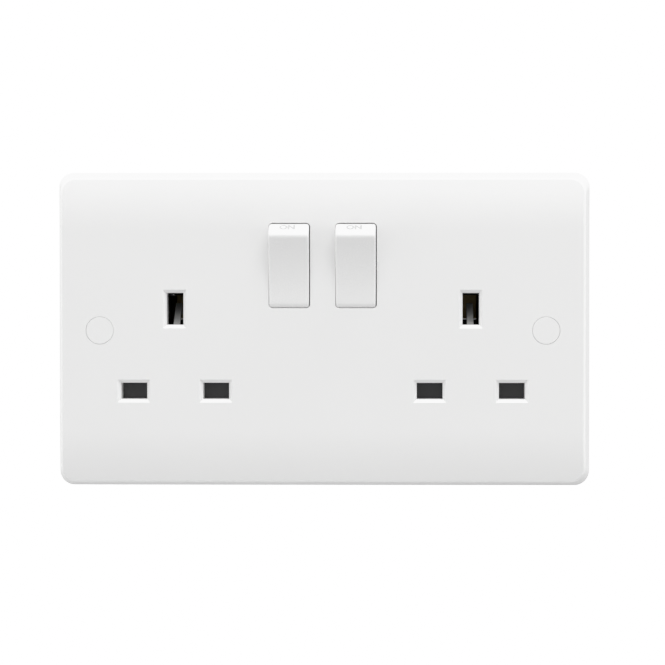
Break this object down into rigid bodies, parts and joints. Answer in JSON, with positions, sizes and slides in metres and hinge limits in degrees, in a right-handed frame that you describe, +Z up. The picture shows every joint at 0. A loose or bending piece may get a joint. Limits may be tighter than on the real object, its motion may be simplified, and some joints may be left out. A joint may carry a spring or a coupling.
{
  "type": "twin switched wall socket outlet",
  "caption": "White moulded wall plate with paired three-slot outlets, a rocker switch for each, shuttered pin slots, covered fixing screws and a rear housing with terminals.",
  "frame": {"origin": "midway between the two fixing screws, in the plane of the plate's rear rim, which is the wall", "axes": "+X to the right as seen from the front, +Y into the wall, +Z up"},
  "size_m": [0.146, 0.0336, 0.086],
  "materials": {
    "white_plate": "smooth gloss moulding",
    "white_rocker": "smooth gloss moulding",
    "white_cap": "smooth gloss moulding",
    "black_housing": "matt moulding",
    "grey_cover": "matt moulding",
    "dark_shutter": "satin moulding",
    "natural_plunger": "satin natural nylon",
    "spring_steel": "bright drawn wire",
    "silver_contact": "satin silver",
    "fixing_screw_zinc": "bright nickel plate",
    "housing_screw_zinc": "zinc plate",
    "terminal_screw_brass": "plain turned brass",
    "brass_sheet": "plain stamped sheet"
  },
  "bodies": {
    "socket": {"front_plate": "white_plate", "contact_cover": "grey_cover", "rear_housing": "black_housing", "fixing_screws": "fixing_screw_zinc", "terminal_screws": "terminal_screw_brass", "housing_screws": "housing_screw_zinc", "earth_strap": "brass_sheet", "neutral_bar": "brass_sheet", "live_feed": "brass_sheet", "screw_cap_left": "white_cap", "screw_cap_right": "white_cap", "fixed_contact_left": "silver_contact", "fixed_contact_right": "silver_contact", "live_link_left": "brass_sheet", "live_link_right": "brass_sheet", "shutter_spring_left": "spring_steel", "shutter_spring_right": "spring_steel"},
    "rocker_left_body": {"rocker_left": "white_rocker", "plunger_spring_left": "spring_steel"},
    "plunger_left_body": {"plunger_left": "natural_plunger"},
    "lever_left_body": {"contact_lever_left": "brass_sheet", "moving_contact_left": "silver_contact"},
    "shutter_left_body": {"shutter_left": "dark_shutter"},
    "rocker_right_body": {"rocker_right": "white_rocker", "plunger_spring_right": "spring_steel"},
    "plunger_right_body": {"plunger_right": "natural_plunger"},
    "lever_right_body": {"contact_lever_right": "brass_sheet", "moving_contact_right": "silver_contact"},
    "shutter_right_body": {"shutter_right": "dark_shutter"}
  },
  "joints": [
    {"name": "rocker_left_tilt", "type": "hinge", "parent": "socket", "child": "rocker_left_body", "pos_m": [-0.009, -0.004, 0.0175], "axis": [1, 0, 0], "range_deg": [-16.7, 0]},
    {"name": "plunger_left_slide", "type": "slide", "parent": "rocker_left_body", "child": "plunger_left_body", "axis": [0, 0.9894, 0.1452], "range_m": [-0.001, 0], "stiffness_N_per_m": 300, "springref_m": 0.002, "deforming": ["plunger_spring_left"]},
    {"name": "contact_lever_left_rock", "type": "hinge", "parent": "socket", "child": "lever_left_body", "pos_m": [-0.009, 0.0054, 0.0175], "axis": [1, 0, 0], "range_deg": [0, 14]},
    {"name": "shutter_left_slide", "type": "slide", "parent": "socket", "child": "shutter_left_body", "axis": [0, 0, -1], "range_m": [0, 0.0056], "stiffness_N_per_m": 120, "springref_m": -0.002, "deforming": ["shutter_spring_left"]},
    {"name": "rocker_right_tilt", "type": "hinge", "parent": "socket", "child": "rocker_right_body", "pos_m": [0.009, -0.004, 0.0175], "axis": [1, 0, 0], "range_deg": [-16.7, 0]},
    {"name": "plunger_right_slide", "type": "slide", "parent": "rocker_right_body", "child": "plunger_right_body", "axis": [0, 0.9894, 0.1452], "range_m": [-0.001, 0], "stiffness_N_per_m": 300, "springref_m": 0.002, "deforming": ["plunger_spring_right"]},
    {"name": "contact_lever_right_rock", "type": "hinge", "parent": "socket", "child": "lever_right_body", "pos_m": [0.009, 0.0054, 0.0175], "axis": [1, 0, 0], "range_deg": [0, 14]},
    {"name": "shutter_right_slide", "type": "slide", "parent": "socket", "child": "shutter_right_body", "axis": [0, 0, -1], "range_m": [0, 0.0056], "stiffness_N_per_m": 120, "springref_m": -0.002, "deforming": ["shutter_spring_right"]}
  ],
  "couplings": [
    {"joint": "contact_lever_left_rock", "follows": "rocker_left_tilt", "ratio": -0.838},
    {"joint": "contact_lever_right_rock", "follows": "rocker_right_tilt", "ratio": -0.838}
  ]
}
